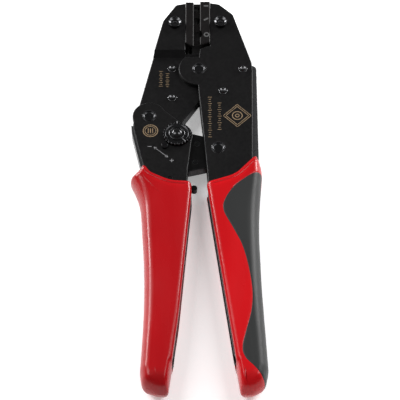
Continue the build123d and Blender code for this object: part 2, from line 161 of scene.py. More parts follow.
channel_painted_paler = black_oxide("channel_black_painted_paler", deep=(0.045, 0.045, 0.047, 1), pale=(0.085, 0.085, 0.088, 1),
                             edge=(0.24, 0.24, 0.25, 1), rough=0.30, side=(0.10, 0.10, 0.105, 1))
give(channel_painted_paler, ("frame_channel", "handle_spine", "spring_sleeve", "frame_tang_rivets",
                      "handle_tang_rivets"))


# ---------------------------------------------------------------------------
# Toggle link and ratchet sector
# Hardened steel plates riveted into one link, which pushes the jaw shut as the handles close.
# The toothed sector is cut from the same steel, and the pawl clicks along it.

# Its side colour is a painted reflection of the floor on the sheared sides.
link_finish = black_oxide("link_black", deep=(0.002, 0.002, 0.0022, 1), pale=(0.006, 0.006, 0.006, 1),
                          edge=bare_steel_and_edge_highlight, rough=0.36, side=(0.08, 0.08, 0.083, 1))
give(link_finish, ("link_plate_front", "link_plate_rear", "ratchet_sector"))


# ---------------------------------------------------------------------------
# Release lever
# A small steel pawl with a thumb tab, on a plain pin through the handle plates. It is smoother
# than the plates, and so are the plain pins and the washer that holds the eccentric.

lever_finish = black_oxide("lever_black", deep=(0.004, 0.0045, 0.0045, 1), pale=(0.010, 0.011, 0.011, 1),
                           edge=bare_steel_and_edge_highlight, rough=0.28)
give(lever_finish, ("release_lever", "link_rivets", "pawl_pin", "pawl_spring_post", "eccentric_retainer"))


# ---------------------------------------------------------------------------
# Dies
# Two hardened steel blocks with three nests between them, ground and blackened a dull brown
# black. Each is held to its plates by one button head screw.

die_finish = black_oxide("die_black", deep=(0.004, 0.0034, 0.0034, 1), pale=(0.010, 0.0085, 0.0085, 1),
                         edge=(0.035, 0.032, 0.032, 1), rough=0.42, side=(0.008, 0.007, 0.007, 1))
give(die_finish, ("fixed_die", "moving_die"))


# ---------------------------------------------------------------------------
# Pivot pins
# Turned and blackened steel pins, riveted flush. Each end has a dark flat centre inside a thin
# raised rim, whose corners are painted bright: partly rubbed wear, partly a painted edge highlight.

# Everything is set out from the main pivot, in millimetres across and along the tool, and in
# height above the middle of its thickness.
low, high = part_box("main_pivot_pin")
pivot_place = np.array([(low.x + high.x) / 2, (low.y + high.y) / 2, (low.z + high.z) / 2])
mm = 0.001


def top_of(node):
    """Height of a node's front face above the middle of the tool, in millimetres."""
    return (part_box(node)[1].z - pivot_place[2]) / mm


def from_pivot(points):
    """Millimetres about the main pivot to metres in the frame."""
    return np.asarray(points, float) * mm + pivot_place


def middle_of(node):
    """Centre of a node across and along the tool, in millimetres from the main pivot."""
    low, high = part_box(node)
    return ((low.x + high.x) / 2 - pivot_place[0]) / mm, ((low.y + high.y) / 2 - pivot_place[1]) / mm


def closed_skin(name, grids, material, body, around=True, sharp=35):
    """Piece from one or more grids: each four neighbours in the rows and columns make a face, and
    around, the last column joins the first. Rows that shrink to a point are merged there, and
    the faces are turned outwards. An open skin is already wound outwards."""
    same_place = 2e-6
    no_length = 1e-6
    corners = []
    quads = []
    for grid in grids:
        rows, columns = grid.shape[:2]
        index = np.arange(rows * columns).reshape(rows, columns) + sum(len(c) for c in corners)
        after = np.roll(index, -1, axis=1) if around else index[:, 1:]
        here = index if around else index[:, :-1]
        corners.append(grid.reshape(-1, 3))
        quads.append(np.stack([here[:-1], after[:-1], after[1:], here[1:]], axis=-1).reshape(-1, 4))
    mesh = bpy.data.meshes.new(name)
    mesh.from_pydata(from_pivot(np.concatenate(corners)).tolist(), [], np.concatenate(quads).tolist())
    shape = bmesh.new()
    shape.from_mesh(mesh)
    bmesh.ops.remove_doubles(shape, verts=shape.verts, dist=same_place)
    bmesh.ops.dissolve_degenerate(shape, edges=shape.edges, dist=no_length)
    if around:
        bmesh.ops.recalc_face_normals(shape, faces=shape.faces)
    shape.to_mesh(mesh)
    shape.free()
    mesh.validate()
    mesh.polygons.foreach_set("use_smooth", np.ones(len(mesh.polygons), bool))
    mesh.set_sharp_from_angle(angle=math.radians(sharp))
    mesh.materials.append(material)
    piece = bpy.data.objects.new(name, mesh)
    bpy.context.scene.collection.objects.link(piece)
    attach(piece, body)
    return piece


def eased(points, radius):
    """Profile of (radius, height) points with its corners rounded: each becomes a parabolic arc
    of five points that starts and ends the given distance away, or less on a short run."""
    p = np.array(points, float)
    t = np.linspace(0, 1, 5)[:, None]
    rows = [p[:1]]
    most = 0.45
    for before, here, after in zip(p[:-2], p[1:-1], p[2:]):
        back = before - here
        ahead = after - here
        start = here + back * min(most, radius / np.linalg.norm(back))
        end = here + ahead * min(most, radius / np.linalg.norm(ahead))
        rows.append((1 - t) ** 2 * start + 2 * t * (1 - t) * here + t * t * end)
    return np.concatenate(rows + [p[-1:]])


def turned(profile, centre, count=96):
    """Grid of a profile (radius, height) carried round an upright axis."""
    angle = np.linspace(0, 2 * np.pi, count, endpoint=False)
    radius, height = np.array(profile, float).T[:, :, None]
    return np.stack([centre[0] + radius * np.cos(angle), centre[1] + radius * np.sin(angle),
                     height + 0 * angle], axis=2)


def both_ends(profile):
    """Profile of a front end continued down the shank to the same end on the rear."""
    return np.vstack([profile, profile[::-1] * np.array([1, -1.0])])


def turned_steel(name, base, rough):
    """Blackened turned steel: roughness in fine blotches, and the corners painted bright, partly
    rubbed wear and partly a painted edge highlight.
    """
    material, add, link = finish_tree(name, metallic=0.9, specular_ior_level=0.5)
    fine = add("TexNoise", 0, Vector=place_on_piece(add, (1200, 1200, 1200)), Scale=1.0, Detail=3.0)
    broad = add("TexNoise", 0, Vector=place_on_piece(add, (250, 250, 250)), Scale=1.0, Detail=3.0)
    dark = tuple(c * 0.55 for c in base[:3]) + (1,)
    body = mixed_colour(add, broad, dark, base)
    # Corner colour, paler than the body: partly rubbed wear, partly a painted edge highlight.
    pale = tuple(min(1, c * 2.6) for c in base[:3]) + (1,)
    link(mixed_colour(add, worn_and_highlit_edges(add, 0.00015), body, pale), "Base Color")
    link(add("MapRange", 0, Value=fine, i1=0.3, i2=0.7, i3=rough - 0.05, i4=rough + 0.07), "Roughness")
    link(add("Bump", 0, Strength=0.05, Distance=0.00003, Height=fine), "Normal")
    return material


pin_finish = turned_steel("pin_turned", (0.034, 0.034, 0.036, 1), 0.22)
for node, body in (("main_pivot_pin", "frame"), ("link_pin", "frame"), ("handle_pin", "handle")):
    face = top_of(node)
    end = eased(((0, face - 0.42), (1.9, face - 0.42), (2.55, face - 0.26), (2.95, face + 0.05),
                 (3.1, face + 0.2), (3.36, face + 0.2), (3.5, face - 0.05), (3.8, face - 0.05),
                 (3.8, 0)), 0.2)
    pin = closed_skin(node.replace("_pin", "_turned_pin"), [turned(both_ends(end), middle_of(node))],
                      pin_finish, body)
    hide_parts(node)


# ---------------------------------------------------------------------------
# Rivets
# Domed steel rivets, blackened and glossy, set by pressing. The press leaves a small groove and
# a raised rim round each dome.

rivet_finish = turned_steel("rivet_glossy", (0.075, 0.075, 0.078, 1), 0.20)
plate_top = top_of("frame_plate_front")
inner_top = top_of("link_plate_front")


def dome(radius, foot, rise, spread, count):
    """Profile of a domed end from its crown down to its foot: an arc of the given spread, its
    sine stretched to the radius and its cosine to the rise."""
    turn = np.linspace(0, spread, count)
    share = (np.cos(turn) - math.cos(spread)) / (1 - math.cos(spread))
    return np.stack([radius * np.sin(turn) / math.sin(spread), foot + rise * share], axis=1)


def domed_rivet(centre, seat):
    """Grid of a rivet with the same dome, groove and rim at both ends."""
    rim = eased(((1.9, seat + 0.1), (2.3, seat + 0.1), (2.45, seat), (1.8, seat), (1.8, 0)), 0.07)
    end = np.vstack([dome(1.85, seat + 0.16, 1.45, 1.35, 17), rim])
    return turned(both_ends(end), centre, 64)


for node in ("frame_rivet_upper", "frame_rivet_lower"):
    frame_rivet = closed_skin(node.replace("rivet", "domed_rivet"),
                              [domed_rivet(middle_of(node), plate_top)],
                              rivet_finish, "frame")
    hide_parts(node)

jaw_rivet_places = ((-15.0, 2.4), (-14.8, -17.9))
jaw_rivets = closed_skin("jaw_domed_rivets", [domed_rivet(place, inner_top) for place in jaw_rivet_places],
                         rivet_finish, "jaw")
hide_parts("jaw_rivets")


# ---------------------------------------------------------------------------
# Die screws
# Button head socket screws of blackened alloy steel, one through each die. The crown is rounded
# outside and dished towards its hexagon socket.

socket_half = 1.32


def foot_of(node):
    """Height of a node's rear face above the middle of the tool, in millimetres."""
    return (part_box(node)[0].z - pivot_place[2]) / mm


def ring(centre, reach, angle, height):
    """One row of a grid: a reach from the centre for each angle, all at one height."""
    return np.stack([centre[0] + reach * np.cos(angle), centre[1] + reach * np.sin(angle),
                     height + 0 * angle], axis=1)


def socket_screw(centre, seat, tip):
    """Grid of a screw from its tip up the shank, over the crown, down the dish and into the
    socket. The socket's reach is the half width over the cosine of the turn from a flat."""
    outside = eased(((2.05, tip), (2.05, seat), (3.7, seat), (3.78, seat + 0.9), (3.62, seat + 2.0),
                     (3.35, seat + 2.05), (2.2, seat + 1.25), (1.72, seat + 1.3)), 0.2)
    rows = turned(np.vstack([[(0, tip)], outside]), centre, 96)
    angle = np.linspace(0, 2 * np.pi, 96, endpoint=False)
    hexagon = socket_half / np.cos((angle + np.pi / 6) % (np.pi / 3) - np.pi / 6)
    socket = [ring(centre, share * hexagon, angle, height)
              for share, height in ((1.0, seat + 1.25), (0.97, seat + 0.5), (0.0, seat + 0.3))]
    return np.concatenate([rows, np.stack(socket)])


screw_finish = turned_steel("screw_glossy", (0.055, 0.055, 0.058, 1), 0.17)
for node, body in (("fixed_die_screw", "frame"), ("moving_die_screw", "jaw")):
    screw = closed_skin(node.replace("screw", "socket_screw"),
                        [socket_screw(middle_of(node), plate_top, foot_of(node))],
                        screw_finish, body)
    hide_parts(node)


# ---------------------------------------------------------------------------
# Adjusting eccentric
# A notched steel wheel under a domed bolt. Turning the wheel turns the eccentric and sets the
# crimping force, and the small slotted screw beside it locks one notch.

wheel_seat = foot_of("star_wheel")
wheel_top = top_of("star_wheel")
wheel_centre = middle_of("star_wheel")
notches = 24
notch_depth = 0.8
notch_width = 0.18
wheel_profile = (
    (3.7, wheel_seat, 0), (7.35, wheel_seat, 1), (7.62, wheel_seat + 0.25, 1), (7.68, wheel_top - 0.55, 1),
    (7.45, wheel_top - 0.12, 1), (7.2, wheel_top, 1), (6.3, wheel_top, 0), (5.9, wheel_top - 0.25, 0),
    (5.0, wheel_top - 0.3, 0), (3.7, wheel_top - 0.3, 0), (3.7, wheel_seat, 0),
)
# Each notch takes a bell curve off the radius, on the rows marked 1.
angle = np.linspace(0, 2 * np.pi, notches * 12, endpoint=False)
from_notch = (angle * notches / (2 * np.pi) + 0.5) % 1 - 0.5
notch = np.exp(-((from_notch / notch_width) ** 2)) * notch_depth
wheel_grid = np.stack([ring(wheel_centre, radius - cut * notch, angle, height)
                       for radius, height, cut in wheel_profile])
wheel = closed_skin("notched_wheel", [wheel_grid],
                    turned_steel("wheel_black", (0.035, 0.035, 0.037, 1), 0.24),
                    "adjuster", sharp=30)
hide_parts("star_wheel")

bolt_foot = foot_of("eccentric_bolt")
bolt_flange = eased((
    (2.95, wheel_top + 0.1), (3.5, wheel_top), (3.7, wheel_top + 0.3), (4.05, wheel_top + 0.34),
    (4.4, wheel_top + 0.1), (4.4, wheel_top - 0.28), (3.6, wheel_top - 0.28), (3.6, bolt_foot),
    (0, bolt_foot),
), 0.12)
bolt_profile = np.vstack([dome(2.9, wheel_top + 0.5, 1.4, 1.2, 15), bolt_flange])
bolt = closed_skin("eccentric_domed_bolt", [turned(bolt_profile, wheel_centre)],
                   turned_steel("bolt_glossy", (0.05, 0.05, 0.052, 1), 0.15),
                   "adjuster")
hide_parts("eccentric_bolt")
give(turned_steel("lock_screw_black", (0.035, 0.035, 0.037, 1), 0.2), ("lock_screw",))


# ---------------------------------------------------------------------------
# Springs
# Close coils of drawn spring wire, bright under a thin film of oil. The long one opens the
# handles, and the short one holds the pawl in the sector's teeth.

give(turned_steel("wire_bright", (0.32, 0.32, 0.33, 1), 0.25), ("opening_spring", "pawl_spring"))


# ---------------------------------------------------------------------------
# Printed marks
# Pad-printed tan ink and scribed lines on the black plates: plain rings, graduations and a
# double-ended arrow, a few hundredths of a millimetre thick.

ink = 0.03
short_end = 12


def ink_ring(centre, outer, inner, seat):
    """Thin flat ring."""
    profile = ((inner, seat), (outer, seat), (outer, seat + ink), (inner, seat + ink), (inner, seat))
    return turned(profile, centre, 64)


def ink_bar(start, end, width, seat, count=32):
    """Thin flat bar with round ends from one place to another: a stretched circle, closed
    below and above at its middle."""
    start, end = np.array(start, float), np.array(end, float)
    run = (end - start) / np.linalg.norm(end - start)
    side = np.array([-run[1], run[0]])
    angle = np.linspace(0, 2 * np.pi, count, endpoint=False)
    along_bar = np.where(np.cos(angle)[:, None] > 0, end, start)
    rim = along_bar + width / 2 * (np.cos(angle)[:, None] * run + np.sin(angle)[:, None] * side)
    middle = np.broadcast_to((start + end) / 2, rim.shape)
    rows = [(middle, seat), (rim, seat), (rim, seat + ink), (middle, seat + ink)]
    return np.stack([np.column_stack([plan, np.full(count, height)]) for plan, height in rows])


def ink_square(centre, size, width, seat):
    """Four bars round a square that stands on one corner."""
    corner = np.array([polar_point(centre, size, quarter * math.pi / 2) for quarter in range(5)])
    return [ink_bar(a, b, width, seat, 16) for a, b in zip(corner[:-1], corner[1:])]


def polar_point(centre, radius, angle):
    """Place at a distance and an angle from a centre."""
    return (centre[0] + radius * math.cos(angle), centre[1] + radius * math.sin(angle))


def ink_finish(name, colour):
    """Thin matt ink: broken up by fine specks where it has worn."""
    material, add, link = finish_tree(name, metallic=0.0, specular_ior_level=0.3)
    speck = add("TexNoise", 0, Vector=place_on_piece(add, (2500, 2500, 2500)), Scale=1.0, Detail=4.0)
    worn = tuple(c * 0.35 for c in colour[:3]) + (1,)
    amount = add("MapRange", 0, Value=speck, i1=0.38, i2=0.6, i3=0.0, i4=1.0)
    link(mixed_colour(add, amount, worn, colour), "Base Color")
    link(add("MapRange", 0, Value=speck, i1=0.3, i2=0.7, i3=0.5, i4=0.75), "Roughness")
    return material


tan_ink = ink_finish("ink_tan", (0.30, 0.21, 0.12, 1))
pale_scribe = ink_finish("scribed_pale", (0.30, 0.30, 0.31, 1))


def tick_row(x, y_top, count, step, every, half, width, seat):
    """Row of bars across the tool, a step apart down it. One in every few is long, with the
    given half length, and the others are short."""
    ticks = []
    for i in range(count):
        reach = half if i % every == 0 else 0.5
        y = y_top - i * step
        ticks.append(ink_bar((x - reach, y), (x + reach, y), width, seat, short_end))
    return ticks


jaw_ticks = tick_row(-17.5, -1.3, 8, 1.3, 2, 0.9, 0.28, inner_top)
jaw_ticks += tick_row(-21.1, 0.3, 9, 1.3, 2, 0.9, 0.28, inner_top)
closed_skin("jaw_graduations", jaw_ticks, tan_ink, "jaw")

frame_marks = tick_row(6.0, -20.0, 19, 1.5, 3, 0.95, 0.3, plate_top)
frame_marks += tick_row(11.2, -24.0, 13, 1.5, 3, 0.95, 0.3, plate_top)
crest = (20.9, -32.6)
for size in (7.6, 6.2):
    frame_marks += ink_square(crest, size, 0.32, plate_top)
frame_marks += [ink_ring(crest, 2.9, 2.45, plate_top), ink_ring(crest, 1.2, 0.8, plate_top)]
closed_skin("frame_graduations", frame_marks, tan_ink, "frame")

seal = np.array((-26.3, -42.9))
seal_marks = [ink_ring(seal, 4.15, 3.75, plate_top), ink_ring(seal, 3.1, 2.8, plate_top)]
for x in (-1.2, 0, 1.2):
    seal_marks.append(ink_bar(seal + (x, -1.4), seal + (x, 1.4), 0.45, plate_top, short_end))
closed_skin("handle_seal", seal_marks, tan_ink, "handle")

arrow_tail = np.array((-24.4, -53.6))
arrow_point = np.array((-16.6, -60.6))
run = (arrow_point - arrow_tail) / np.linalg.norm(arrow_point - arrow_tail)
across = np.array([-run[1], run[0]])
arrow_width = 0.26
sign_width = 0.36
arrow = [ink_bar(arrow_tail, arrow_point, arrow_width, plate_top)]
for end, sense in ((arrow_tail, 1), (arrow_point, -1)):
    for side in (-0.7, 0.7):
        barb = end + sense * 1.5 * run + side * across
        arrow.append(ink_bar(end, barb, arrow_width, plate_top, short_end))
minus = np.array((-26.6, -53.4))
plus = np.array((-14.6, -62.6))
level = np.array((0.9, 0))
upright = np.array((0, 0.9))
for place, half_bar in ((minus, level), (plus, level), (plus, upright)):
    arrow.append(ink_bar(place - half_bar, place + half_bar, sign_width, plate_top, short_end))
# A short pale upright bar just above the wheel.
arrow.append(ink_bar((-11.9, -38.1), (-11.9, -36.5), 0.45, plate_top, short_end))
closed_skin("adjusting_arrow", arrow, pale_scribe, "handle")

index_turn = -0.86
index_line = ink_bar(polar_point(wheel_centre, 4.9, index_turn), polar_point(wheel_centre, 7.0, index_turn),
                     0.4, wheel_top - 0.02, 16)
closed_skin("wheel_index_line", [index_line], pale_scribe, "adjuster")

die_front = top_of("fixed_die")
die_marks = [
    ink_bar((3.1, 44.75), (4.9, 44.75), 1.1, die_front),
    ink_bar((3.2, 34.5), (4.8, 35.5), 1.1, die_front),
    ink_ring((4.2, 23.8), 1.6, 0.85, die_front),
]
closed_skin("die_size_marks", die_marks, ink_finish("die_mark_grey", (0.09, 0.09, 0.09, 1)),
            "frame")


# ---------------------------------------------------------------------------
# Left grip
# A glossy red moulding pushed over the handle's steel tangs. It has a flat front and back, a
# broad round outer side, a narrow inner side where the steel shows, and a lip at its mouth.

def rounded_path(corners):
    """Closed outline through corners (x, y, radius): straight runs joined by arcs that touch
    them, with points at even steps."""
    spacing = 0.25
    arc_step = 0.15
    points = []
    count = len(corners)
    for i in range(count):
        before = np.array(corners[i - 1][:2], float)
        here = np.array(corners[i][:2], float)
        after = np.array(corners[(i + 1) % count][:2], float)
        radius = corners[i][2]
        to_before = (before - here) / np.linalg.norm(before - here)
        to_after = (after - here) / np.linalg.norm(after - here)
        half = math.acos(np.clip(to_before @ to_after, -1, 1)) / 2
        middle = to_before + to_after
        centre = here + middle / np.linalg.norm(middle) * radius / math.sin(half)
        start = here + to_before * radius / math.tan(half) - centre
        end = here + to_after * radius / math.tan(half) - centre
        turn = math.pi - 2 * half
        share = np.linspace(0, 1, max(4, int(radius * turn / arc_step)))[:, None]
        arc = np.sin((1 - share) * turn) * start + np.sin(share * turn) * end
        points.append(centre + arc / math.sin(turn))
    return even_steps(np.concatenate(points), spacing)


def even_steps(path, spacing):
    """The same closed line with points a fixed distance apart along it."""
    loop = np.vstack([path, path[:1]])
    length = np.concatenate([[0], np.cumsum(np.linalg.norm(np.diff(loop, axis=0), axis=1))])
    steps = np.linspace(0, length[-1], int(length[-1] / spacing) + 1)[:-1]
    return np.stack([np.interp(steps, length, loop[:, k]) for k in (0, 1)], axis=1)


def shares_of(path, shares):
    """Points at given shares of the length of an open line."""
    length = np.concatenate([[0], np.cumsum(np.linalg.norm(np.diff(path, axis=0), axis=1))])
    return np.stack([np.interp(shares * length[-1], length, path[:, k]) for k in (0, 1)], axis=1)


def nearest(path, point):
    """Index of the outline point nearest to a place."""
    return int(np.argmin(np.linalg.norm(path - np.array(point, float), axis=1)))


def along(path, marks):
    """Value at each outline point, eased between marks (x, y, value) set round the outline."""
    spots = sorted((nearest(path, mark[:2]), mark[2]) for mark in marks)
    where = np.array([spots[-1][0] - len(path)] + [s[0] for s in spots] + [spots[0][0] + len(path)], float)
    value = np.array([spots[-1][1]] + [s[1] for s in spots] + [spots[0][1]], float)
    at = np.arange(len(path))
    k = np.clip(np.searchsorted(where, at, side="right") - 1, 0, len(where) - 2)
    t = (at - where[k]) / np.maximum(where[k + 1] - where[k], 1e-9)
    return value[k] + (value[k + 1] - value[k]) * t * t * (3 - 2 * t)


def to_outline(plan, path):
    """Distance from each place to a closed outline, and where along the outline it is nearest."""
    start, end = path, np.roll(path, -1, axis=0)
    run = end - start
    best = np.full(len(plan), 1e9)
    where = np.zeros(len(plan))
    for part in np.array_split(np.arange(len(plan)), max(1, len(plan) // 2000)):
        offset = plan[part, None, :] - start[None]
        t = np.clip((offset * run).sum(-1) / (run * run).sum(-1), 0, 1)
        gap = np.linalg.norm(offset - t[..., None] * run, axis=-1)
        k = gap.argmin(1)
        best[part] = gap[np.arange(len(part)), k]
        where[part] = k + t[np.arange(len(part)), k]
    return best, where


def value_at(values, where):
    """Outline values read between two outline points."""
    k = where.astype(int) % len(values)
    t = where - where.astype(int)
    return values[k] * (1 - t) + values[(k + 1) % len(values)] * t


def grip_height(plan, grip, seam=None):
    """Front surface of a grip: from the lip height at the outline it rises along a superellipse
    over the edge width, stops short of level to leave a soft ridge, then runs flat with a small
    crown. The heel rounds down along the tool, and shallow grooves, bell curves of the distance,
    follow the mouth and the seam."""
    roundness = 2.3
    heel_roundness = 2.4
    crown_run = 9.0
    mouth_groove, mouth_inset, mouth_width = 0.32, 3.3, 0.55
    seam_groove, seam_width = 0.16, 0.3
    gap, where = to_outline(plan, grip["path"])
    width = value_at(grip["edge_width"], where)
    lip = value_at(grip["lip"], where)
    mouth = value_at(grip["mouth"], where)
    share = np.clip(gap / width, 0, 1)
    reach = grip["reach"]
    ellipse = (1 - (1 - share * reach) ** roundness) ** (1 / roundness)
    top = (1 - (1 - reach) ** roundness) ** (1 / roundness)
    inward = np.clip((gap - width) / crown_run, 0, 1)
    height = lip + (grip["face"] - lip) * ellipse / top
    from_heel = np.clip((plan[:, 1] - grip["heel"]) / grip["heel_length"], 0, 1)
    height = height * (1 - (1 - from_heel) ** heel_roundness) ** (1 / heel_roundness)
    height = height + grip["crown"] * (1 - (1 - inward) ** 2)
    height = height - mouth * mouth_groove * np.exp(-((gap - mouth_inset) / mouth_width) ** 2)
    if seam is not None:
        from_seam, _ = to_outline(plan, seam)
        height = height - seam_groove * np.exp(-(from_seam / seam_width) ** 2)
    return height


def grip_rings(boundary, spine, depth, grip, seam=None):
    """Rows from the front spine out to the boundary, round the steel's groove or straight over
    the side, and back along the rear to the spine, for every column of the boundary."""
    ray = spine - boundary
    length = np.linalg.norm(ray, axis=1)[:, None]
    # How far in from the outline each ray is at 40 places, as a share of the edge's width.
    tries = np.linspace(0, 1, 40) ** 1.5
    plan = boundary[:, None] + ray[:, None] * tries[None, :, None]
    gap, where = to_outline(plan.reshape(-1, 2), grip["path"])
    share = (gap / value_at(grip["edge_width"], where)).reshape(len(ray), -1)
    share = np.maximum.accumulate(share, axis=1) + np.arange(len(tries)) * 1e-9
    # Rows at equal turns round the edge, three just past its ridge, and five to the spine.
    turn = np.linspace(0, np.pi / 2, 15)
    wanted = np.concatenate([1 - np.cos(turn), [1.06, 1.2, 1.4]])
    steps = np.stack([np.interp(wanted, row, tries) for row in share])
    steps = np.minimum(steps, np.linspace(0.55, 0.92, len(wanted)))
    rest = steps[:, -1:] + (1 - steps[:, -1:]) * np.linspace(0, 1, 6)[None, 1:]
    steps = np.concatenate([steps, rest], axis=1)
    front = boundary[:, None] + ray[:, None] * steps[..., None]
    height = grip_height(front.reshape(-1, 2), grip, seam).reshape(steps.shape)
    front = np.concatenate([front, height[..., None]], axis=2).transpose(1, 0, 2)
    edge = front[0]
    inner = edge.copy()
    inner[:, :2] += ray / length * depth[:, None]
    flip = np.array([1, 1, -1.0])
    return np.concatenate([front[::-1], inner[None], (inner * flip)[None], front * flip])


def grip_spine(side_one, side_two, top_y, end_y):
    """Line that the rings shrink to: midway between facing boundary points, kept clear of the
    mouth and of the heel."""
    line = side_one * 0.5 + side_two[::-1] * 0.5
    start = np.argmax(line[:, 1] < top_y)
    stop = len(line) - 1 - np.argmax(line[::-1, 1] > end_y)
    kept = line[np.clip(np.arange(len(line)), start, stop)]
    return np.concatenate([kept, kept[::-1]])


def two_sides(path, first, last, count):
    """Splits a closed line at two places, with the same number of points on both sides,
    closer together near both places."""
    path = np.roll(path, -nearest(path, first), axis=0)
    cut = nearest(path, last)
    even = np.linspace(0, 1, count)
    shares = even - 0.5 * np.sin(2 * np.pi * even) / (2 * np.pi)
    one = shares_of(path[: cut + 1], shares)
    two = shares_of(np.vstack([path[cut:], path[:1]]), shares)
    return one, two


def grip_piece(name, region, first, last, grip, body, material, top_y, end_y, seam=None):
    """One moulding, closed: rings over the region between its mouth and its heel."""
    one, two = two_sides(region, first, last, 330)
    spine = grip_spine(one, two, top_y, end_y)
    boundary = np.concatenate([one, two])
    gap, where = to_outline(boundary, grip["path"])
    depth = np.where(gap < 0.02, value_at(grip["groove"], where), 0)
    rings = grip_rings(boundary, spine, depth, grip, seam)
    return closed_skin(name, [rings], material, body, sharp=50)


def grip_form(corners, edge_marks, lip_marks, mouth_marks, groove_marks):
    """Outline of a grip with the values that vary round it."""
    path = rounded_path(corners)
    return {
        "path": path, "edge_width": along(path, edge_marks), "lip": along(path, lip_marks),
        "mouth": along(path, mouth_marks), "groove": along(path, groove_marks),
        "face": 9.55, "crown": 0.25, "reach": 0.80,
        "heel": path[:, 1].min(), "heel_length": 11.0,
    }


def glossy_moulding(name, deep, bright):
    """Glossy dyed plastic: slow colour drift, orange-peel relief and faint rubbed patches."""
    material, add, link = finish_tree(name, metallic=0.0, specular_ior_level=0.28)
    drift = add("TexNoise", 0, Vector=place_on_piece(add, (22, 9, 22)), Scale=1.0, Detail=3.0)
    peel = add("TexNoise", 0, Vector=place_on_piece(add, (700, 700, 700)), Scale=1.0, Detail=2.0)
    rub = add("TexNoise", 0, Vector=place_on_piece(add, (90, 25, 90)), Scale=1.0, Detail=8.0)
    shade = add("MapRange", 0, Value=drift, i1=0.35, i2=0.65, i3=0.0, i4=1.0)
    link(mixed_colour(add, shade, deep, bright), "Base Color")
    link(add("MapRange", 0, Value=rub, i1=0.4, i2=0.75, i3=0.24, i4=0.34), "Roughness")
    link(add("Bump", 0, Strength=0.05, Distance=0.0001, Height=peel), "Normal")
    return material


# The left grip's red is painted darker than the right's, as painted shade: both grips are one plastic.
left_red_painted_shade = glossy_moulding("left_grip_red_painted_shade", deep=(0.30, 0.002, 0.004, 1), bright=(0.38, 0.003, 0.006, 1))
# Corners (x, y, radius), then the edge's width, the lip's height, the groove at the mouth and
# the groove over the steel, each as marks (x, y, value) round the outline.
left_form = grip_form(
    ((-29.4, -65.6, 2.2), (-36.9, -73.4, 2.4), (-31.2, -86.0, 50), (-28.2, -131.0, 500),
     (-28.2, -160.0, 400), (-29.6, -190.0, 12), (-28.4, -198.0, 6), (-20.6, -201.8, 10),
     (-15.3, -201.7, 2.4), (-10.25, -160.0, 300), (-3.85, -84.0, 8), (-4.1, -77.2, 2.2), (-15.4, -76.4, 20),
     (-26.0, -71.0, 8)),
    ((-29.4, -66.5, 2.8), (-36.0, -74.0, 5.6), (-31.0, -86.0, 5.4), (-28.2, -140.0, 5.0),
     (-29.4, -186.0, 4.8), (-26.0, -201.0, 4.0), (-17.5, -202.0, 3.0), (-15.0, -196.0, 2.6),
     (-13.0, -182.0, 2.4), (-3.9, -86.0, 2.4), (-4.6, -78.0, 2.6), (-15.4, -76.4, 2.8)),
    ((-30.2, -66.6, 6.05), (-31.6, -68.0, 0.0), (-14.3, -187.5, 0.0), (-14.0, -184.5, 6.05),
     (-10.25, -160.0, 6.05), (-15.4, -76.4, 6.05)),
    ((-31.0, -67.4, 1.0), (-35.5, -72.0, 0.0), (-4.3, -84.0, 0.0), (-5.2, -77.3, 1.0),
     (-15.4, -76.4, 1.0)),
    ((-30.0, -66.4, 1.6), (-31.4, -67.8, 0.0), (-14.2, -186.5, 0.0), (-14.0, -184.5, 1.6),
     (-10.25, -160.0, 1.6), (-15.4, -76.4, 1.6)),
)
left_piece = grip_piece("left_handle_grip", left_form["path"], (-17.0, -76.0), (-22.0, -201.8),
                        left_form, "handle", left_red_painted_shade, -88.0, -190.0)
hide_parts("left_grip")


# ---------------------------------------------------------------------------
# Right grip
# The same red moulding on the fixed plates, cut back on its outer side for the soft panel. The
# seam runs down its face in one long wave, and the red comes back round the heel.

# The right grip's red is painted lighter than the left's, as painted light on the same plastic.
right_red_painted_light = glossy_moulding("right_grip_red_painted_light", deep=(0.36, 0.002, 0.004, 1), bright=(0.48, 0.003, 0.006, 1))
right_form = grip_form(
    ((31.6, -58.4, 2.4), (34.0, -68.6, 20), (31.4, -100.0, 300), (32.4, -140.0, 600),
     (34.95, -189.0, 12), (33.4, -197.0, 7), (27.0, -201.8, 9), (20.9, -201.7, 2.8), (18.2, -182.0, 6),
     (4.9, -84.0, 8), (3.9, -77.8, 2.6), (19.2, -72.4, 16)),
    ((31.6, -60.0, 3.0), (33.8, -70.0, 4.6), (31.4, -100.0, 5.6), (32.4, -140.0, 5.6),
     (34.8, -186.0, 5.0), (31.5, -200.0, 4.4), (23.0, -202.0, 3.0), (20.4, -196.0, 2.6),
     (18.2, -182.0, 2.4), (4.9, -86.0, 2.4), (4.6, -78.2, 2.6), (19.2, -72.4, 2.8)),
    ((31.2, -59.6, 6.05), (32.6, -61.6, 0.0), (19.2, -187.5, 0.0), (18.6, -184.5, 6.05),
     (12.0, -136.0, 6.05), (19.2, -72.4, 6.05)),
    ((31.6, -60.0, 1.0), (33.8, -68.0, 0.0), (4.9, -84.0, 0.0), (4.9, -77.8, 1.0),
     (19.2, -72.4, 1.0)),
    ((31.0, -59.4, 1.6), (32.4, -61.2, 0.0), (19.0, -186.5, 0.0), (18.6, -184.5, 1.6),
     (12.0, -136.0, 1.6), (19.2, -72.4, 1.6)),
)


def inside(points, path):
    """Which places lie inside a closed outline: an odd count of edges to their right."""
    x, y = points[:, 0, None], points[:, 1, None]
    a, b = path, np.roll(path, -1, axis=0)
    spans = (a[:, 1] > y) != (b[:, 1] > y)
    climb = np.where(b[:, 1] == a[:, 1], 1, b[:, 1] - a[:, 1])
    cross = a[:, 0] + (y - a[:, 1]) * (b[:, 0] - a[:, 0]) / climb
    return (spans & (x < cross)).sum(1) % 2 == 1


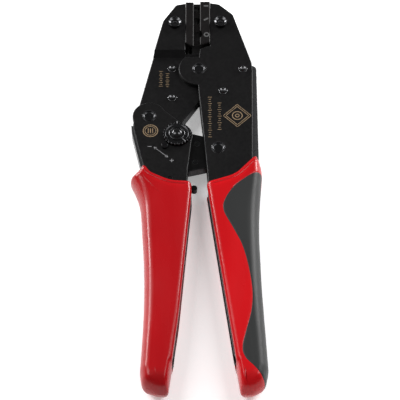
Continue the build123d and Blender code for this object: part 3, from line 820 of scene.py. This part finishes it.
def run_of(path, kept):
    """The unbroken run of kept points of a closed line, in order."""
    start = np.flatnonzero(kept & ~np.roll(kept, 1))[0]
    return np.roll(path, -start, axis=0)[: kept.sum()]


def downward(line):
    """The same open line with its points in order from the jaw to the heel."""
    return line if line[0, 1] > line[-1, 1] else line[::-1]


def smooth_line(points):
    """Catmull-Rom curve: a cubic from each point to the next, parallel at each to the line
    between its neighbours, in 40 steps."""
    p = np.array(points, float)
    p = np.vstack([2 * p[0] - p[1], p, 2 * p[-1] - p[-2]])
    t = np.linspace(0, 1, 40, endpoint=False)[:, None, None]
    a, b, c, d = p[:-3], p[1:-2], p[2:-1], p[3:]
    curve = 0.5 * (2 * b + (c - a) * t + (2 * a - 5 * b + 4 * c - d) * t**2 + (3 * b - a - 3 * c + d) * t**3)
    return np.vstack([curve.transpose(1, 0, 2).reshape(-1, 2), p[-2:-1]])


panel_front = smooth_line((
    (40.0, -69.6), (34.5, -71.2), (30.4, -72.4), (24.6, -76.2), (18.1, -82.3), (13.6, -90.2), (13.1, -97.6),
    (17.4, -107.2), (22.4, -118.6), (25.7, -132.6), (27.3, -146.5), (26.6, -158.0), (23.9, -169.6),
    (21.9, -179.0), (23.2, -185.2), (28.2, -190.9), (33.4, -197.6), (38.0, -203.0),
))
panel_edge = even_steps(panel_front, 0.1)
fine_outline = even_steps(right_form["path"], 0.1)
outer_run = downward(run_of(fine_outline, inside(fine_outline, panel_edge)))
seam_run = downward(run_of(panel_edge, inside(panel_edge, right_form["path"])))
red_run = downward(run_of(fine_outline, ~inside(fine_outline, panel_edge)))
red_region = np.vstack([red_run[::-1], seam_run])
right_piece = grip_piece("right_handle_grip", red_region, (18.0, -72.8), (25.5, -201.8),
                         right_form, "frame", right_red_painted_light, -84.0, -190.0, seam_run)
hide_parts("right_grip")


# ---------------------------------------------------------------------------
# Soft panel
# Charcoal thermoplastic rubber moulded over the outer side of the fixed grip, with a fine
# matt spark texture and a rounded rim that meets the red in a narrow groove.

def soft_rubber(name):
    """Matt rubber: fine spark texture in the relief, and a slow change of shade."""
    material, add, link = finish_tree(name, metallic=0.0, specular_ior_level=0.3, sheen_weight=0.05,
                                      sheen_roughness=0.5)
    spark = add("TexVoronoi", 0, Vector=place_on_piece(add, (2600, 2600, 2600)), Scale=1.0)
    broad = add("TexNoise", 0, Vector=place_on_piece(add, (40, 18, 40)), Scale=1.0, Detail=4.0)
    link(mixed_colour(add, broad, (0.007, 0.0075, 0.0075, 1), (0.012, 0.013, 0.013, 1)), "Base Color")
    link(add("MapRange", 0, Value=spark, i1=0.0, i2=1.0, i3=0.42, i4=0.58), "Roughness")
    link(add("Bump", 0, Strength=0.25, Distance=0.00005, Height=spark), "Normal")
    return material


def panel_rows(outer, seam, grip):
    """Ruled patch between the grip's outer outline and the seam: across it the rows crowd
    towards the outline, where the surface turns down, and towards the seam's rounded rim."""
    count = 420
    even = np.linspace(0, 1, count)
    shares = even - 0.6 * np.sin(2 * np.pi * even) / (2 * np.pi)
    out, rim = shares_of(outer, shares), shares_of(seam, shares)
    ray = rim - out
    length = np.linalg.norm(ray, axis=1)[:, None] + 1e-6
    turn = np.linspace(0, np.pi / 2, 13)
    width = np.minimum(5.4, 0.45 * length)
    band = (1 - np.cos(turn))[None] * width
    edge = np.minimum(np.array([1.1, 0.6, 0.3, 0.1, 0.0]), 0.4 * length)
    rest = width + (length - edge[:, :1] - width) * np.linspace(0, 1, 8)[None, 1:-1]
    steps = np.concatenate([band, rest, length - edge], axis=1)
    plan = out[:, None] + ray[:, None] * (steps / length)[..., None]
    height = grip_height(plan.reshape(-1, 2), grip, seam).reshape(steps.shape) + 0.04
    height[:, 0] = 0
    front = np.concatenate([plan, height[..., None]], axis=2).transpose(1, 0, 2)
    return np.concatenate([front[::-1], front[1:] * np.array([1, 1, -1.0])])


panel_piece = closed_skin("soft_outer_panel", [panel_rows(outer_run, seam_run, right_form)],
                          soft_rubber("panel_rubber"), "frame", around=False, sharp=60)
wall = panel_piece.modifiers.new("wall", "SOLIDIFY")
wall.thickness = 1.1 * mm
wall.offset = -1
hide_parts("soft_grip_panel")


# ---------------------------------------------------------------------------
# Stage
# A plain pale floor that glows faintly. Two soft boxes stand low behind the tool and two larger
# ones hang high at its sides, and the camera looks down from in front of the heels.

def soft_box(name, place, width, height, power):
    """Rectangular area light turned towards the middle of the tool."""
    lamp = bpy.data.lights.new(name, "AREA")
    lamp.shape = "RECTANGLE"
    lamp.size = width
    lamp.size_y = height
    lamp.energy = power
    holder = bpy.data.objects.new(name, lamp)
    bpy.context.scene.collection.objects.link(holder)
    holder.location = place
    x, y, z = place
    holder.rotation_euler = (math.atan2(math.hypot(x, y), z), 0, math.atan2(y, x) + math.pi / 2)


soft_box("left_low_box", (-0.72, 0.64, 0.28), 0.50, 0.26, 10.0)
soft_box("right_low_box", (0.72, 0.64, 0.28), 0.50, 0.26, 10.0)
soft_box("left_high_box", (-0.74, 0.15, 1.05), 0.55, 0.80, 8.5)
soft_box("right_high_box", (0.74, 0.15, 1.05), 0.55, 0.80, 8.5)

reach = 3
floor_mesh = bpy.data.meshes.new("floor")
floor_mesh.from_pydata([(-reach, -reach, 0), (reach, -reach, 0), (reach, reach, 0), (-reach, reach, 0)],
                       [], [(0, 1, 2, 3)])
floor = bpy.data.objects.new("floor", floor_mesh)
bpy.context.scene.collection.objects.link(floor)
floor_finish, add, link = finish_tree("floor_pale", roughness=0.9, specular_ior_level=0.1,
                                      emission_color=(1, 1, 1, 1), emission_strength=0.34)
cloud = add("TexNoise", 0, Scale=8.0)
link(mixed_colour(add, cloud, (0.93, 0.93, 0.93, 1), (0.95, 0.95, 0.95, 1)), "Base Color")
floor_mesh.materials.append(floor_finish)

world = bpy.data.worlds.new("studio")
bpy.context.scene.world = world
world.use_nodes = True
sky = world.node_tree.nodes["Background"]
sky.inputs["Color"].default_value = (1, 1, 1, 1)
sky.inputs["Strength"].default_value = 0.15

camera_data = bpy.data.cameras.new("camera")
camera_data.lens = 169.04
camera_data.sensor_width = 36.0
camera = bpy.data.objects.new("camera", camera_data)
bpy.context.scene.collection.objects.link(camera)
elevation = math.radians(55.8)
distance = 1.0
aim = from_pivot((0.56, -84.27, 0.0))
camera.location = aim + distance * np.array([0, -math.cos(elevation), math.sin(elevation)])
camera.rotation_euler = (math.pi / 2 - elevation, 0, 0)
bpy.context.scene.camera = camera
bpy.context.scene.view_settings.view_transform = "Standard"
